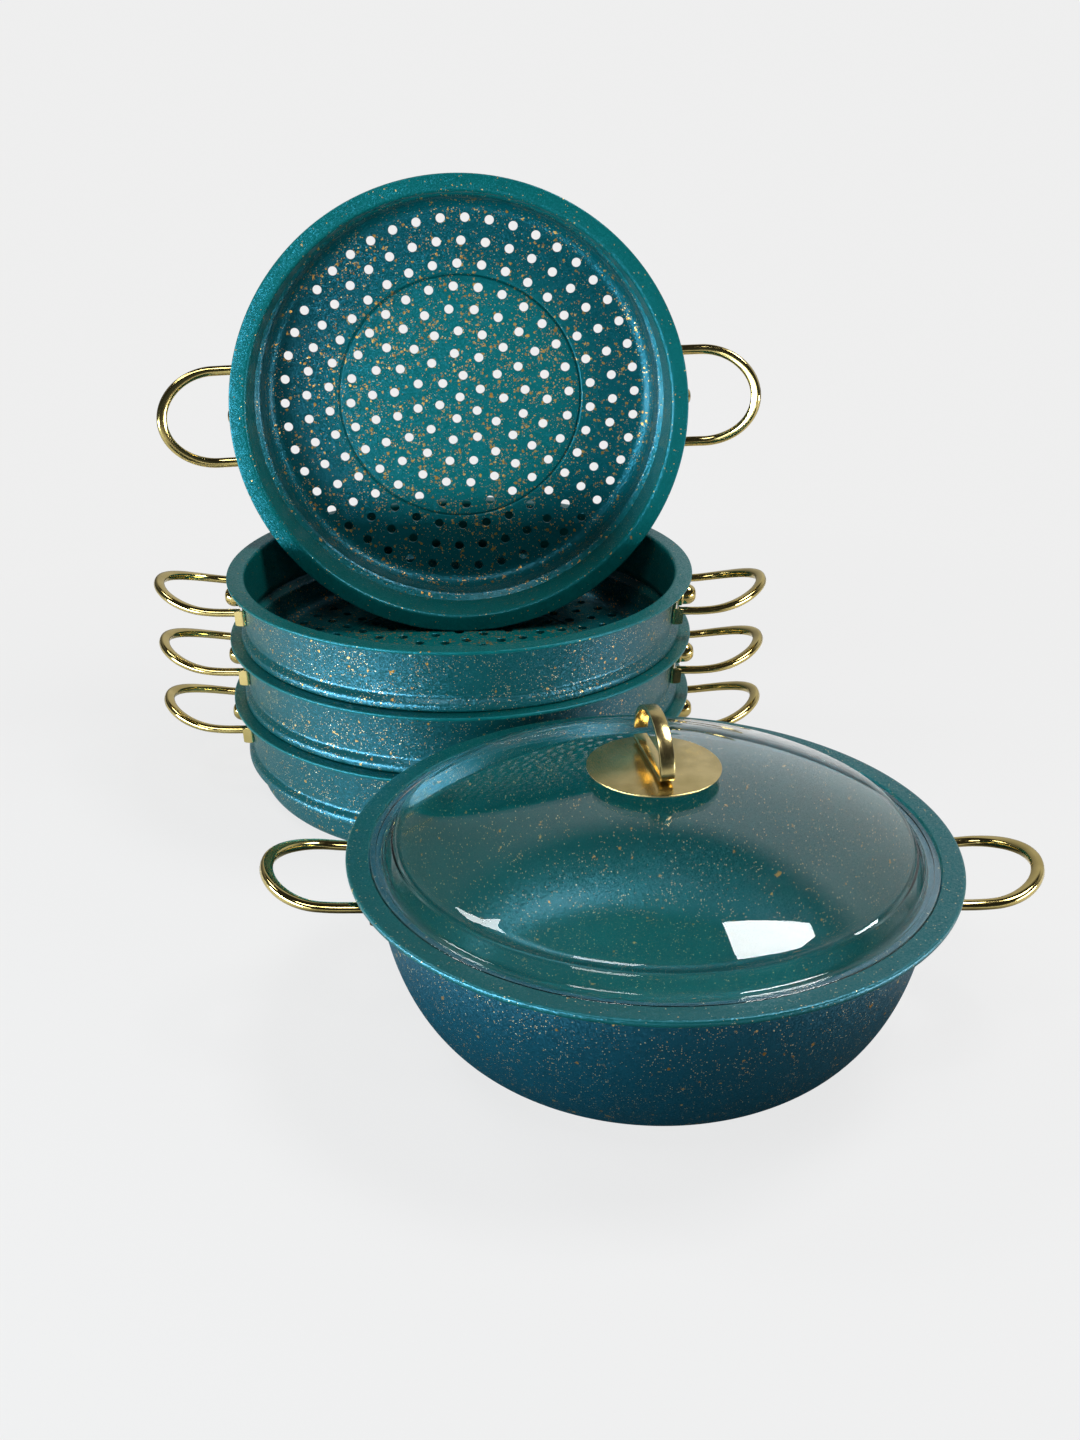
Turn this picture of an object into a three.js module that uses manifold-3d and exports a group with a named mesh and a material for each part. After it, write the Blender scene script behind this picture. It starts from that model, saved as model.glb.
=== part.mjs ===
// Manti steamer, in millimetres with +Z up and the origin at the centre of the pot's base.
// A bowl-shaped pot with a glass lid stands in front. Behind it stand three nested sieve tiers, and a fourth
// tier stands upright in the mouth of the top one and leans back on its rim.
import * as THREE from 'three';
import { mergeGeometries, mergeVertices } from 'three/addons/utils/BufferGeometryUtils.js';
import Module from 'manifold-3d';

const wasm = await Module();
wasm.setup();

const clearance = 0.3; // gap between two pieces that touch
const segments = 24; // facets round each turned piece

// Pot
const potHeight = 109.6;
const potRimRadius = 170.9;
const potRimWidth = 12.5;
const potRimThickness = 4;
const potWall = 3;
const potFlare = 60; // how much wider the wall is at its top than at the base
const lidLedgeDepth = 5;
const lidLedgeWidth = 7.4;

// Sieve tier, a pressed sheet
const tierHeight = 69.7;
const tierRimRadius = 169;
const tierRimWidth = 12.8;
const tierSheet = 2.5;
const tierRimBend = 3;
const tierBeadBend = 1.5;
const tierWallTaper = 2; // the wall is this much narrower at the bead than at the rim
const tierShoulderHeight = 23.9; // where the bead rests on the rim of the tier below
const tierBeadHeight = 9;
const tierSeatLap = 1.5; // how far the bead reaches over the flat of the rim below
const tierNestGap = 3.7; // between the dish and the mouth of the tier below
const tierCorner = 12.6;
const tierDishDraft = 1;
const tierFloorStep = 0.6; // the middle of the floor is pressed up by this much

// Steam holes, in rings round one centre hole
const holeDiameter = 7;
const holeCornerRatio = 0.62; // from a hole's centre to its prism's corner, in diameters
const holeEdgeMargin = 4.6; // from the centres of the outer ring to the floor's edge
const holeRings = [
  { count: 6, start: 19 },
  { count: 11, start: 29 },
  { count: 17, start: 4 },
  { count: 22, start: 12.5 },
  { count: 28, start: 0.6 },
  { count: 34, start: 3.7 },
  { count: 40, start: 5.8 },
  { count: 46, start: -0.5 },
];
const floorStepRing = 5.5; // the pressed step lies between these rings
const fullDrilling = { sides: 4, every: 1 };
const sparseDrilling = { sides: 3, every: 7 }; // for the floors that stand in the stack

// Handles, the same on every vessel but for their place
const legSpacing = 69;
const loopThickness = 5.6;
const loopWidth = 7.4;
const loopStraight = 13; // from the rim's edge to where the legs begin to close
const loopSteps = 12;
const loopCorners = 6;
const tierHandle = { overhang: 51.5, rise: 12.5 };
const potHandle = { overhang: 45.5, rise: 8 };
const potHandleDrop = 21; // from the pot's rim to the legs

// Handle brackets and their caps
const plateThickness = 1.5;
const plateAbove = 10; // plate above and below the height of the legs
const plateBelow = 11.5;
const plateBeadGap = 1.3; // from a tier's bead to the plate
const earThickness = 2;
const earReach = 6;
const earAbove = 3.4;
const earBelow = 8.5;
const capRadius = 8.5;
const capLength = 13;
const capRound = 4;

// Lid
const lidGlass = 4;
const lidSideClearance = 0.6;
const lidRimWidth = 8;
const lidStepRun = 7;
const lidStepRise = 11.9;
const lidDomeRise = 32.8;
const lidBoreRadius = 4;

// Knob on the lid
const knobPlateRadius = 37.3;
const knobPlateSheet = 1.2;
const knobPlateCrown = 1.6;
const knobGasketRadius = 14;
const knobGasketHeight = 3.6;
const knobStrapThickness = 3;
const knobStrapWidth = 8;
const knobStrapLength = 61;
const knobStrapHeight = 30.7;
const knobStrapBend = 4;
const knobGapAngle = 5; // degrees of the arch left open above the base leg
const knobOffset = 1.6;
const knobTurn = 10; // degrees
const screwRadius = 2.8;
const screwHeadRadius = 7;
const screwHeadHeight = 3;
const washerRadius = 10;
const washerThickness = 1.6;

// Where the pieces stand
const stackBearing = 109.8; // degrees, from the pot to the stack
const stackGap = 1.5; // between the pot's rim and the stack's
const leanTilt = 4.6; // degrees from upright
const leanYaw = 1.35;
const leanShift = -1.7;
const leanSpin = 2;
const leanSamples = 360; // points tried round each edge of the leaning tier

const coat = { color: 0x0d5c6b, roughness: 0.35, metalness: 0.35 };
const gold = { color: 0xc79a3e, roughness: 0.22, metalness: 1 };
const glass = { color: 0xdde8e6, roughness: 0.05, metalness: 0, transparent: true, opacity: 0.35 };
const silicone = { color: 0x2a2a2c, roughness: 0.7, metalness: 0 };
const steel = { color: 0xb9bcc0, roughness: 0.3, metalness: 1 };

const rad = THREE.MathUtils.degToRad;
const at = (r, z) => new THREE.Vector2(r, z);

function solidOf(geometry) {
  const bare = geometry.clone();
  bare.deleteAttribute('normal');
  bare.deleteAttribute('uv');
  const merged = mergeVertices(bare, 1e-3);
  const index = merged.index.array;
  const kept = [];
  for (let i = 0; i < index.length; i += 3) {
    const [a, b, c] = index.subarray(i, i + 3);
    if (a !== b && b !== c && c !== a) kept.push(a, b, c);
  }
  return new wasm.Manifold(new wasm.Mesh({
    numProp: 3,
    vertProperties: new Float32Array(merged.attributes.position.array),
    triVerts: new Uint32Array(kept),
  }));
}

function piece(name, solid, look) {
  const mesh = solid.getMesh();
  const geometry = new THREE.BufferGeometry();
  geometry.setAttribute('position', new THREE.BufferAttribute(mesh.vertProperties, 3));
  geometry.setIndex(new THREE.BufferAttribute(mesh.triVerts, 1));
  geometry.computeVertexNormals();
  const made = new THREE.Mesh(geometry, new THREE.MeshStandardMaterial(look));
  made.name = name;
  return made;
}

// A profile of (radius, height) points, outside first and going up, turned about Z.
function turned(profile, facets = segments) {
  const geometry = new THREE.LatheGeometry(profile, facets);
  geometry.rotateX(Math.PI / 2);
  return solidOf(geometry);
}

function ring(inner, outer, low, high, facets = segments) {
  return turned([at(inner, low), at(outer, low), at(outer, high), at(inner, high), at(inner, low)], facets);
}

function block(low, high) {
  const size = new THREE.Vector3().subVectors(high, low);
  const middle = new THREE.Vector3().addVectors(high, low).multiplyScalar(0.5);
  const geometry = new THREE.BoxGeometry(size.x, size.y, size.z);
  geometry.translate(middle.x, middle.y, middle.z);
  return solidOf(geometry);
}

// Points of a quarter of an ellipse, from its lowest point outwards and up.
function quarter(centreR, lowZ, reach, rise, steps) {
  const points = [];
  for (let i = 0; i <= steps; i += 1) {
    const t = (Math.PI / 2) * (i / steps);
    points.push(at(centreR + reach * Math.sin(t), lowZ + rise * (1 - Math.cos(t))));
  }
  return points;
}

// Radius of a side's outline at a height.
function radiusAt(side, z) {
  const reaches = (p, q) => Math.min(p.y, q.y) <= z && Math.max(p.y, q.y) >= z;
  const found = side.findIndex((p, i) => i > 0 && reaches(side[i - 1], p));
  const [a, b] = [side[found - 1], side[found]];
  const share = b.y === a.y ? 0 : (z - a.y) / (b.y - a.y);
  return a.x + (b.x - a.x) * share;
}

// Pot: bowl-shaped wall, recessed ledge for the lid and a flat rim with a rounded edge.
const potRecess = potRimRadius - potRimWidth;
const potLedge = potHeight - lidLedgeDepth;
const potMouth = potRecess - lidLedgeWidth;
const potBase = potMouth + potWall - potFlare;
const potWallOutside = quarter(potBase, 0, potFlare, potLedge - potWall, 6);
const potWallInside = quarter(potBase, potWall, potMouth - potBase, potLedge - potWall, 6);
const potProfile = [
  at(0, 0),
  ...potWallOutside,
  at(potRecess + potWall, potLedge - potWall),
  at(potRecess + potWall, potHeight - potRimThickness),
  at(potRimRadius - potRimThickness / 3, potHeight - potRimThickness),
  at(potRimRadius, potHeight - (potRimThickness * 2) / 3),
  at(potRimRadius, potHeight - potRimThickness / 3),
  at(potRimRadius - potRimThickness / 3, potHeight),
  at(potRecess, potHeight),
  at(potRecess, potLedge),
  ...potWallInside.toReversed(),
  at(0, potWall),
];

// Tier: floor with a pressed step, dish, bead that seats on the tier below, tapered wall and flat rim.
const tierMouth = tierRimRadius - tierRimWidth;
const tierDish = tierMouth - tierNestGap;
const tierFloor = tierDish - tierCorner;
const tierBead = tierMouth + tierRimBend + tierSeatLap;
const tierFoot = tierMouth - tierWallTaper;
const tierPitch = tierHeight - tierShoulderHeight + clearance;
const holeRingPitch = (tierFloor - holeEdgeMargin) / holeRings.length;
const stepRadius = floorStepRing * holeRingPitch;
const beadTop = tierShoulderHeight + tierBeadHeight;
const tierWallOutside = [
  at(tierFoot + tierSheet, beadTop),
  at(tierMouth + tierSheet, tierHeight - tierSheet - tierRimBend),
];
const tierInside = [
  at(tierMouth, tierHeight - tierRimBend),
  at(tierFoot, beadTop + tierBeadBend),
  at(tierBead - tierSheet, tierShoulderHeight + tierBeadHeight / 2),
  at(tierDish + tierDishDraft - tierSheet, tierShoulderHeight),
  ...quarter(tierFloor, tierSheet, tierCorner - tierSheet, tierCorner - tierSheet, 2).toReversed(),
];
const tierOutside = [
  ...quarter(tierFloor, 0, tierCorner, tierCorner, 2),
  at(tierDish + tierDishDraft, tierShoulderHeight),
  at(tierBead - tierBeadBend, tierShoulderHeight),
  at(tierBead, tierShoulderHeight + tierBeadBend),
  at(tierBead, tierShoulderHeight + tierBeadHeight / 2),
  ...tierWallOutside,
  at(tierMouth + tierSheet + tierRimBend, tierHeight - tierSheet),
  at(tierRimRadius, tierHeight - tierSheet),
  at(tierRimRadius, tierHeight),
];
const tierProfile = [
  at(0, tierFloorStep),
  at(stepRadius - tierFloorStep, tierFloorStep),
  at(stepRadius + tierFloorStep, 0),
  ...tierOutside,
  at(tierMouth + tierRimBend, tierHeight),
  ...tierInside,
  at(stepRadius + tierFloorStep, tierSheet),
  at(stepRadius - tierFloorStep, tierSheet + tierFloorStep),
  at(0, tierSheet + tierFloorStep),
];

// Prisms that cut the steam holes: their sides have the width of the round hole.
function holeCutters({ sides, every }) {
  const places = [new THREE.Vector3(0, 0, 0)];
  holeRings.forEach(({ count, start }, ringIndex) => {
    for (let i = 0; i < count; i += 1) {
      const angle = rad(start) + (2 * Math.PI * i) / count;
      places.push(new THREE.Vector3((ringIndex + 1) * holeRingPitch, angle, 0));
    }
  });
  const corner = holeDiameter * holeCornerRatio;
  const firstCorner = Math.PI / 2 - Math.PI / sides;
  const prisms = places.filter((_, i) => i % every === 0).map(({ x: radius, y: angle }) => {
    const prism = new THREE.CylinderGeometry(corner, corner, 4 * tierSheet, sides, 1, false, firstCorner);
    prism.rotateX(Math.PI / 2);
    prism.translate(radius, 0, tierSheet / 2);
    prism.rotateZ(angle);
    return prism;
  });
  return solidOf(mergeGeometries(prisms));
}

// A handle's centre line: two straight legs joined by a half ellipse that tilts up.
class HandleLine extends THREE.Curve {
  constructor(start, bend, end, rise) {
    super();
    Object.assign(this, { start, bend, end, rise });
  }

  getPoint(t, target = new THREE.Vector3()) {
    const leg = this.bend - this.start;
    const arc = (Math.PI / 2) * (this.end - this.bend + legSpacing / 2);
    const along = t * (2 * leg + arc) - leg;
    const half = legSpacing / 2;
    if (along < 0) return target.set(this.bend + along, -half, 0);
    if (along > arc) return target.set(this.bend - (along - arc), half, 0);
    const turn = (Math.PI * along) / arc;
    const out = Math.sin(turn);
    return target.set(this.bend + (this.end - this.bend) * out, -half * Math.cos(turn), this.rise * out);
  }
}

function ovalShape(thickness, width, corners) {
  const points = [];
  for (let i = 0; i < corners; i += 1) {
    const t = (2 * Math.PI * (i + 0.5)) / corners;
    points.push(at((thickness / 2) * Math.cos(t), (width / 2) * Math.sin(t)));
  }
  return new THREE.Shape(points);
}

// One handle with its bracket and cap, on the +X side of a vessel, with its legs at legHeight.
function handleSet(name, wallSide, legHeight, rimRadius, { overhang, rise }) {
  const group = new THREE.Group();
  const plateLow = legHeight - plateBelow;
  const plateHigh = legHeight + plateAbove;
  const [lowR, highR] = [radiusAt(wallSide, plateLow), radiusAt(wallSide, plateHigh)];
  const bulge = wallSide.filter((p) => p.y > plateLow && p.y < plateHigh).map((p) => {
    const share = (p.y - plateLow) / (plateHigh - plateLow);
    return p.x - (lowR + (highR - lowR) * share);
  });
  const inset = clearance + Math.max(0, ...bulge);
  const backLow = at(lowR + inset, plateLow);
  const backHigh = at(highR + inset, plateHigh);
  const frontHigh = at(backHigh.x + plateThickness, plateHigh);
  const frontLow = at(backLow.x + plateThickness, plateLow);
  const shell = turned([backLow, frontLow, frontHigh, backHigh, backLow]);

  const earInside = legSpacing / 2 + loopWidth / 2 + clearance;
  const earOutside = earInside + earThickness;
  const span = new THREE.Vector3(rimRadius, earOutside, plateHigh + 1);
  let bracket = shell.intersect(block(new THREE.Vector3(0, -earOutside, plateLow - 1), span));
  const facetDepth = Math.cos(Math.PI / segments);
  const earRoot = Math.sqrt(highR ** 2 - earOutside ** 2) + inset + plateThickness;
  for (const side of [-1, 1]) {
    const ys = [side * earInside, side * earOutside].sort((a, b) => a - b);
    const earLow = new THREE.Vector3(highR * facetDepth - earReach, ys[0], legHeight - earBelow);
    const earHigh = new THREE.Vector3(earRoot + earReach, ys[1], legHeight + earAbove);
    const keep = turned([at(0, plateLow), backLow, backHigh, at(0, plateHigh)]);
    bracket = bracket.add(block(earLow, earHigh).subtract(keep));
  }
  group.add(piece(`${name}_bracket`, bracket, gold));

  const legStart = Math.max(frontLow.x, frontHigh.x) * facetDepth;
  const legFoot = Math.sqrt(legStart ** 2 - ((legSpacing - loopWidth) / 2) ** 2) + 2 * clearance;
  const line = new HandleLine(legFoot, rimRadius + loopStraight, rimRadius + overhang, rise);
  const section = ovalShape(loopThickness, loopWidth, loopCorners);
  const loop = new THREE.ExtrudeGeometry(section, { steps: loopSteps, extrudePath: line });
  const handle = piece(`${name}_handle`, solidOf(loop), gold);
  handle.position.z = legHeight;
  group.add(handle);

  const capFoot = Math.max(frontLow.x, frontHigh.x) + clearance;
  const cap = turned([
    at(0, 0),
    at(capRadius, 0),
    at(capRadius, capLength - capRound),
    at(capRadius - capRound, capLength),
    at(0, capLength),
  ], 8);
  const capPiece = piece(`${name}_cap`, cap, gold);
  capPiece.rotation.y = Math.PI / 2;
  capPiece.position.set(capFoot, 0, legHeight);
  group.add(capPiece);
  return group;
}

function addHandles(vessel, name, wallSide, legHeight, rimRadius, handle) {
  for (const [side, turn] of [['right', 0], ['left', Math.PI]]) {
    const set = handleSet(`${name}_${side}`, wallSide, legHeight, rimRadius, handle);
    set.rotation.z = turn;
    vessel.add(set);
  }
}

function makePot() {
  const vessel = new THREE.Group();
  vessel.add(piece('pot_body', turned(potProfile), coat));
  addHandles(vessel, 'pot', potWallOutside, potHeight - potHandleDrop, potRimRadius, potHandle);
  return vessel;
}

function makeTier(name, drilling) {
  const vessel = new THREE.Group();
  const body = turned(tierProfile).subtract(holeCutters(drilling));
  vessel.add(piece(`${name}_body`, body, coat));
  const legHeight = beadTop + plateBeadGap + plateBelow;
  addHandles(vessel, name, tierWallOutside, legHeight, tierRimRadius, tierHandle);
  return vessel;
}

// Glass dome: flat rim, stepped rise and a spherical crown with a bore for the knob's screw.
function makeLid() {
  const lid = new THREE.Group();
  const edge = potRecess - lidSideClearance;
  const stepFoot = edge - lidRimWidth;
  const crownEdge = stepFoot - lidStepRun;
  const crownRadius = (crownEdge ** 2 + lidDomeRise ** 2) / (2 * lidDomeRise);
  const apex = lidGlass + lidStepRise + lidDomeRise;
  const crownAt = (r) => apex - crownRadius + Math.sqrt(crownRadius ** 2 - r ** 2);
  const crown = [];
  for (let i = 0; i <= 5; i += 1) {
    const r = crownEdge + (lidBoreRadius - crownEdge) * (i / 5);
    crown.push(at(r, crownAt(r)));
  }
  const top = [at(edge, 0), at(edge, lidGlass), at(stepFoot, lidGlass), ...crown];
  const under = [...crown.toReversed(), at(stepFoot, lidGlass)].map((p) => at(p.x, p.y - lidGlass));
  lid.add(piece('lid_glass', turned([...top, ...under, at(edge, 0)]), glass));

  const gasketFoot = crownAt(lidBoreRadius) + clearance;
  const gasketTop = gasketFoot + knobGasketHeight;
  const bore = screwRadius + clearance;
  lid.add(piece('lid_gasket', ring(bore, knobGasketRadius, gasketFoot, gasketTop, 12), silicone));

  const plateFoot = gasketTop + clearance;
  const plateTop = plateFoot + knobPlateSheet;
  const plateFlat = knobGasketRadius + knobPlateSheet;
  const plateProfile = [
    at(bore, plateFoot),
    at(plateFlat, plateFoot),
    at(knobPlateRadius, plateFoot - knobPlateCrown),
    at(knobPlateRadius, plateTop - knobPlateCrown),
    at(plateFlat, plateTop),
    at(bore, plateTop),
    at(bore, plateFoot),
  ];
  lid.add(piece('lid_knob_plate', turned(plateProfile), gold));

  const strap = piece('lid_knob_loop', knobStrap(), gold);
  strap.rotation.x = Math.PI / 2;
  const strapTurn = new THREE.Group();
  strapTurn.rotation.z = rad(knobTurn - 90);
  strapTurn.position.z = plateTop + clearance + knobStrapThickness / 2;
  strapTurn.add(strap);
  lid.add(strapTurn);

  const washerFoot = crownAt(washerRadius) - lidGlass - clearance - washerThickness;
  lid.add(piece('lid_washer', ring(bore, washerRadius, washerFoot, washerFoot + washerThickness, 12), steel));
  const headTop = washerFoot - clearance;
  const screw = turned([
    at(0, headTop - screwHeadHeight),
    at(screwHeadRadius, headTop - screwHeadHeight),
    at(screwHeadRadius, headTop),
    at(screwRadius, headTop),
    at(screwRadius, plateTop),
    at(0, plateTop),
  ], 12);
  lid.add(piece('lid_screw', screw, steel));
  lid.position.z = potLedge + clearance;
  return lid;
}

// A flat strap bent into an open loop: base leg, tight front bend and an arch that stops above the base leg.
function knobStrap() {
  const half = (knobStrapLength - knobStrapThickness) / 2;
  const rise = knobStrapHeight - knobStrapThickness - knobStrapBend;
  const line = [{ x: -half, y: 0, nx: 0, ny: -1 }, { x: half - knobStrapBend, y: 0, nx: 0, ny: -1 }];
  const bendSteps = 3;
  for (let i = 1; i < bendSteps; i += 1) {
    const t = (Math.PI / 2) * (i / bendSteps - 1);
    const [c, s] = [Math.cos(t), Math.sin(t)];
    line.push({ x: half - knobStrapBend * (1 - c), y: knobStrapBend * (1 + s), nx: c, ny: s });
  }
  const steps = 14;
  for (let i = 0; i <= steps; i += 1) {
    const t = (rad(180 - knobGapAngle) * i) / steps;
    const normal = new THREE.Vector2(Math.cos(t) * rise, Math.sin(t) * half).normalize();
    line.push({ x: half * Math.cos(t), y: knobStrapBend + rise * Math.sin(t), nx: normal.x, ny: normal.y });
  }
  const side = (offset) => line.map((p) => at(p.x + p.nx * offset, p.y + p.ny * offset));
  const outline = new THREE.Shape([
    ...side(knobStrapThickness / 2),
    ...side(-knobStrapThickness / 2).toReversed(),
  ]);
  const strap = new THREE.ExtrudeGeometry(outline, { depth: knobStrapWidth, bevelEnabled: false });
  strap.translate(-knobOffset, 0, -knobStrapWidth / 2);
  return solidOf(strap);
}

// Stands a tier on its rim on the floor below and pushes it back until it meets the mouth it stands in.
function leanAgainst(tier, floorZ, rimZ) {
  tier.rotation.set(rad(90 - leanTilt), 0, rad(leanYaw), 'ZXY');
  tier.rotateZ(rad(leanSpin));
  tier.updateMatrix();
  const touching = [];
  for (const p of tierOutside) {
    for (let i = 0; i < leanSamples; i += 1) {
      const t = (2 * Math.PI * i) / leanSamples;
      const corner = new THREE.Vector3(p.x * Math.cos(t), p.x * Math.sin(t), p.y);
      touching.push(corner.applyMatrix4(tier.matrix));
    }
  }
  const lowest = Math.min(...touching.map((p) => p.z));
  const lift = floorZ + clearance - lowest;
  const inscribed = Math.cos(Math.PI / segments);
  const backs = touching.filter((p) => p.z + lift <= rimZ).map((p) => {
    const local = Math.min(p.z + lift - (rimZ - tierHeight), tierHeight - tierRimBend);
    const mouth = radiusAt(tierInside, Math.max(local, tierSheet)) * inscribed - clearance;
    return Math.sqrt(mouth ** 2 - (p.x + leanShift) ** 2) - p.y;
  });
  tier.position.set(leanShift, Math.min(...backs), lift);
}

const steamer = new THREE.Group();
steamer.name = 'manti_steamer';
steamer.add(makePot());
steamer.add(makeLid());

const stack = new THREE.Group();
const stackDistance = potRimRadius + tierRimRadius + stackGap;
stack.position.x = stackDistance * Math.cos(rad(stackBearing));
stack.position.y = stackDistance * Math.sin(rad(stackBearing));
for (const level of [0, 1, 2]) {
  const tier = makeTier(`tier_${level + 1}`, sparseDrilling);
  tier.position.z = level * tierPitch;
  stack.add(tier);
}
const leaning = makeTier('tier_4', fullDrilling);
leanAgainst(leaning, 2 * tierPitch + tierSheet + tierFloorStep, 2 * tierPitch + tierHeight);
stack.add(leaning);
steamer.add(stack);

export default steamer;
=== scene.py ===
import math

import bmesh
import bpy
import numpy as np
from mathutils import Matrix, Vector
from mathutils.geometry import delaunay_2d_cdt


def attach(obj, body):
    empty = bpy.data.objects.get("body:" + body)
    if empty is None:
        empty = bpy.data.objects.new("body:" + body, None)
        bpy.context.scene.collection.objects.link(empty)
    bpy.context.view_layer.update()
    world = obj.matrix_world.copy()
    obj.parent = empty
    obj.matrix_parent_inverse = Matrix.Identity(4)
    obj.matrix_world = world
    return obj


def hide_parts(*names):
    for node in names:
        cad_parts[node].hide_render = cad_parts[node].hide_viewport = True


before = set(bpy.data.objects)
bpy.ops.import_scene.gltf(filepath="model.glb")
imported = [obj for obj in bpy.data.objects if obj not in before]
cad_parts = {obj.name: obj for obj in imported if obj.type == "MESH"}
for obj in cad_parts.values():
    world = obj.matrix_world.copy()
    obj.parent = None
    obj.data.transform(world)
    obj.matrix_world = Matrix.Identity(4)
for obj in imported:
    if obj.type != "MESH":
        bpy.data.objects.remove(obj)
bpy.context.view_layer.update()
mm = 0.001
clearance = 0.3  # mm between parts that lie on one another


# places
def turned(degrees, axis):
    return Matrix.Rotation(math.radians(degrees), 4, axis)


def shiftBy(x, y, z):
    return Matrix.Translation(Vector((x, y, z)) * mm)


# camera
cameraView = {
    "place": (-0.07701, -0.80509, 0.55725),
    "pitch": 21.754,  # degrees below the horizon
    "roll": -0.27,
    "lens": 40.76,
    "shift": (0.01867, -0.06067),
    "clip": (0.01, 200),
}


def makeCamera(view):
    data = bpy.data.cameras.new("camera")
    camera = bpy.data.objects.new("camera", data)
    bpy.context.scene.collection.objects.link(camera)
    data.lens = view["lens"]
    data.shift_x, data.shift_y = view["shift"]
    data.clip_start, data.clip_end = view["clip"]
    turn = turned(90 - view["pitch"], "X") @ turned(view["roll"], "Z")
    camera.matrix_world = Matrix.Translation(view["place"]) @ turn
    bpy.context.scene.camera = camera


makeCamera(cameraView)

# surfaces
meshForm = {
    "cornerShare": 0.48,  # the most of an edge that the curve at one corner takes
    "sameSpot": 1e-4,  # mm within which two points of an outline are one
    "merge": 2e-6,  # metres within which two points of a mesh are one
    "thin": 1e-7,  # metres under which an edge is dropped
    "sharp": 38,  # degrees past which an edge isn't shaded smooth
}


def gridFaces(rows, cols, closeRows=False, closeCols=False):
    # a quad from each point of a grid to its next neighbours, wrapped round where it is closed
    rowStarts = np.arange(rows - (not closeRows))
    colStarts = np.arange(cols - (not closeCols))
    i, j = np.meshgrid(rowStarts, colStarts, indexing="ij")
    nextI, nextJ = (i + 1) % rows, (j + 1) % cols
    quads = np.stack([i * cols + j, nextI * cols + j, nextI * cols + nextJ, i * cols + nextJ], -1)
    return quads.reshape(-1, 4)


def smoothRise(s):
    # 3 s squared less 2 s cubed: a rise from 0 to 1 with level ends
    s = np.clip(s, 0, 1)
    return s * s * (3 - 2 * s)


def unit(v):
    return v / np.linalg.norm(v, axis=-1, keepdims=True)


def quadratic(start, corner, end, t):
    # leaves the start towards the corner and comes to the end from it
    return (1 - t) ** 2 * start + 2 * t * (1 - t) * corner + t**2 * end


def eased(corners, steps=5, closed=False):
    # a corner (radius, height, reach) becomes a quadratic curve from a reach before it to a reach after it
    corners = np.asarray(corners, float)
    c, reach = corners[:, :2], corners[:, 2:].copy()
    if not closed:
        reach[[0, -1]] = 0
    back, ahead = np.roll(c, 1, 0) - c, np.roll(c, -1, 0) - c
    lengthBack = np.linalg.norm(back, axis=1, keepdims=True)
    lengthAhead = np.linalg.norm(ahead, axis=1, keepdims=True)
    most = meshForm["cornerShare"]
    start = c + back / lengthBack * np.minimum(reach, lengthBack * most)
    end = c + ahead / lengthAhead * np.minimum(reach, lengthAhead * most)
    t = np.linspace(0, 1, steps)[:, None]
    line = quadratic(start[:, None], c[:, None], end[:, None], t).reshape(-1, 2)
    keep = np.linalg.norm(line - np.roll(line, 1, 0), axis=1) > meshForm["sameSpot"]
    keep[0] = True
    return line[keep]


def quarterRound(centreR, lowZ, reach, rise, steps):
    # quarter of an ellipse in (radius, height), from its lowest point outwards and up
    t = np.linspace(0, math.pi / 2, steps)
    return np.stack([centreR + reach * np.sin(t), lowZ + rise * (1 - np.cos(t))], 1)


def revolve(profile, turns, closed=True):
    # every (radius, height) of a profile goes once round Z: x = r cos t, y = r sin t
    r, z = np.asarray(profile, float).T
    t = np.linspace(0, 2 * math.pi, turns, endpoint=False)
    points = np.stack([np.outer(np.cos(t), r), np.outer(np.sin(t), r), np.tile(z, (turns, 1))], -1)
    return points.reshape(-1, 3), gridFaces(turns, len(r), True, closed)


def besidePath(path, off):
    # points to the right of a flat path, off it by each value of a section
    along = unit(np.gradient(path, axis=0))
    right = np.stack([along[:, 1], -along[:, 0]], 1)
    return path[:, None] + right[:, None] * off[None, :, None]


def sweep(rings):
    # rings of section points along a path, joined into a tube with a flat face on both ends
    stations, around = rings.shape[:2]
    faces = gridFaces(stations, around, False, True).tolist()
    faces.append(list(range(around))[::-1])
    faces.append(list(range((stations - 1) * around, stations * around)))
    return rings.reshape(-1, 3), faces


def meshOf(name, parts):
    # parts of (points in mm, faces) become one mesh in metres, with doubled points merged
    mesh = bpy.data.meshes.new(name)
    points, faces, offset = [], [], 0
    for partPoints, partFaces in parts:
        if isinstance(partFaces, np.ndarray):
            faces += (partFaces + offset).tolist()
        else:
            faces += [[corner + offset for corner in face] for face in partFaces]
        points.append(partPoints)
        offset += len(partPoints)
    mesh.from_pydata((np.concatenate(points) * mm).tolist(), [], faces)
    work = bmesh.new()
    work.from_mesh(mesh)
    bmesh.ops.remove_doubles(work, verts=work.verts, dist=meshForm["merge"])
    bmesh.ops.dissolve_degenerate(work, edges=work.edges, dist=meshForm["thin"])
    bmesh.ops.recalc_face_normals(work, faces=work.faces)
    work.to_mesh(mesh)
    work.free()
    return mesh


def place(mesh, name, matrix, body, node, material, sharp=meshForm["sharp"]):
    # a copy of a mesh is carried to its place and stands for its solid
    own = mesh.copy()
    own.name = name
    own.transform(matrix)
    own.shade_smooth()
    own.set_sharp_from_angle(angle=math.radians(sharp))
    own.materials.clear()
    own.materials.append(material)
    piece = bpy.data.objects.new(name, own)
    bpy.context.scene.collection.objects.link(piece)
    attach(piece, body)
    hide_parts(node)
    return piece


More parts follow.
